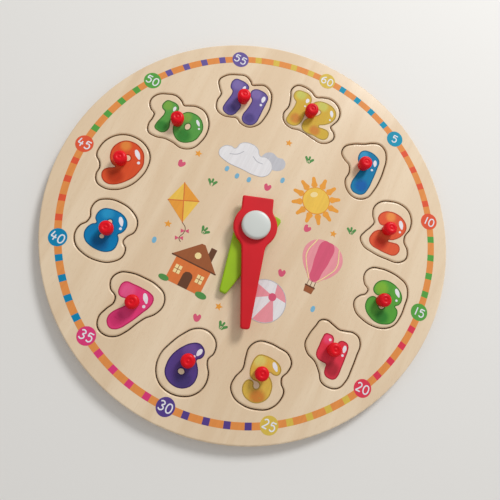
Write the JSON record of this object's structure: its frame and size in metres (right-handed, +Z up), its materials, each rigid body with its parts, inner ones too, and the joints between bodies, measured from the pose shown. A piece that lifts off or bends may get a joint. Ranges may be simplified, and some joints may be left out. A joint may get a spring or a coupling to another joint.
{
  "type": "wooden clock puzzle",
  "caption": "Round wooden clock puzzle: knobbed number pieces that lift out of a two-layer board, with two turning hands on a capped pivot.",
  "frame": {"origin": "centre of the board's underside, on the table", "axes": "+Z up out of the board's face, +Y towards the 12, +X towards the 3"},
  "size_m": [0.3, 0.3, 0.0243],
  "materials": {
    "face_wood": "pale birch plywood, clear matt varnish",
    "backing_wood": "pale birch plywood, bare",
    "piece_wood": "pale birch plywood with printed numbers, clear matt varnish",
    "knob_red": "turned wood, glossy red paint",
    "hour_green": "wood, satin lime green paint",
    "minute_red": "wood, satin red paint",
    "cap_white": "moulded white plastic",
    "washer_nylon": "natural nylon",
    "pivot_steel": "zinc-plated steel"
  },
  "bodies": {
    "board": {"backing_board": "backing_wood", "face_board": "face_wood", "lower_washer": "washer_nylon", "middle_washer": "washer_nylon", "upper_washer": "washer_nylon", "pivot_barrel": "pivot_steel", "pivot_screw": "pivot_steel", "cap_base": "cap_white", "centre_cap": "cap_white"},
    "hour_hand": {"hour_hand": "hour_green"},
    "minute_hand": {"minute_hand": "minute_red"},
    "piece_1": {"number_1": "piece_wood", "knob_1": "knob_red"},
    "piece_2": {"number_2": "piece_wood", "knob_2": "knob_red"},
    "piece_3": {"number_3": "piece_wood", "knob_3": "knob_red"},
    "piece_4": {"number_4": "piece_wood", "knob_4": "knob_red"},
    "piece_5": {"number_5": "piece_wood", "knob_5": "knob_red"},
    "piece_6": {"number_6": "piece_wood", "knob_6": "knob_red"},
    "piece_7": {"number_7": "piece_wood", "knob_7": "knob_red"},
    "piece_8": {"number_8": "piece_wood", "knob_8": "knob_red"},
    "piece_9": {"number_9": "piece_wood", "knob_9": "knob_red"},
    "piece_10": {"number_10": "piece_wood", "knob_10": "knob_red"},
    "piece_11": {"number_11": "piece_wood", "knob_11": "knob_red"},
    "piece_12": {"number_12": "piece_wood", "knob_12": "knob_red"}
  },
  "joints": [
    {"name": "hour_turn", "type": "hinge", "parent": "board", "child": "hour_hand", "pos_m": [0, 0, 0.01185], "axis": [0, 0, -1], "continuous": true},
    {"name": "minute_turn", "type": "hinge", "parent": "board", "child": "minute_hand", "pos_m": [0, 0, 0.01695], "axis": [0, 0, -1], "continuous": true},
    {"name": "lift_1", "type": "slide", "parent": "board", "child": "piece_1", "axis": [0, 0, 1], "range_m": [0, 0.03]},
    {"name": "lift_2", "type": "slide", "parent": "board", "child": "piece_2", "axis": [0, 0, 1], "range_m": [0, 0.03]},
    {"name": "lift_3", "type": "slide", "parent": "board", "child": "piece_3", "axis": [0, 0, 1], "range_m": [0, 0.03]},
    {"name": "lift_4", "type": "slide", "parent": "board", "child": "piece_4", "axis": [0, 0, 1], "range_m": [0, 0.03]},
    {"name": "lift_5", "type": "slide", "parent": "board", "child": "piece_5", "axis": [0, 0, 1], "range_m": [0, 0.03]},
    {"name": "lift_6", "type": "slide", "parent": "board", "child": "piece_6", "axis": [0, 0, 1], "range_m": [0, 0.03]},
    {"name": "lift_7", "type": "slide", "parent": "board", "child": "piece_7", "axis": [0, 0, 1], "range_m": [0, 0.03]},
    {"name": "lift_8", "type": "slide", "parent": "board", "child": "piece_8", "axis": [0, 0, 1], "range_m": [0, 0.03]},
    {"name": "lift_9", "type": "slide", "parent": "board", "child": "piece_9", "axis": [0, 0, 1], "range_m": [0, 0.03]},
    {"name": "lift_10", "type": "slide", "parent": "board", "child": "piece_10", "axis": [0, 0, 1], "range_m": [0, 0.03]},
    {"name": "lift_11", "type": "slide", "parent": "board", "child": "piece_11", "axis": [0, 0, 1], "range_m": [0, 0.03]},
    {"name": "lift_12", "type": "slide", "parent": "board", "child": "piece_12", "axis": [0, 0, 1], "range_m": [0, 0.03]}
  ]
}
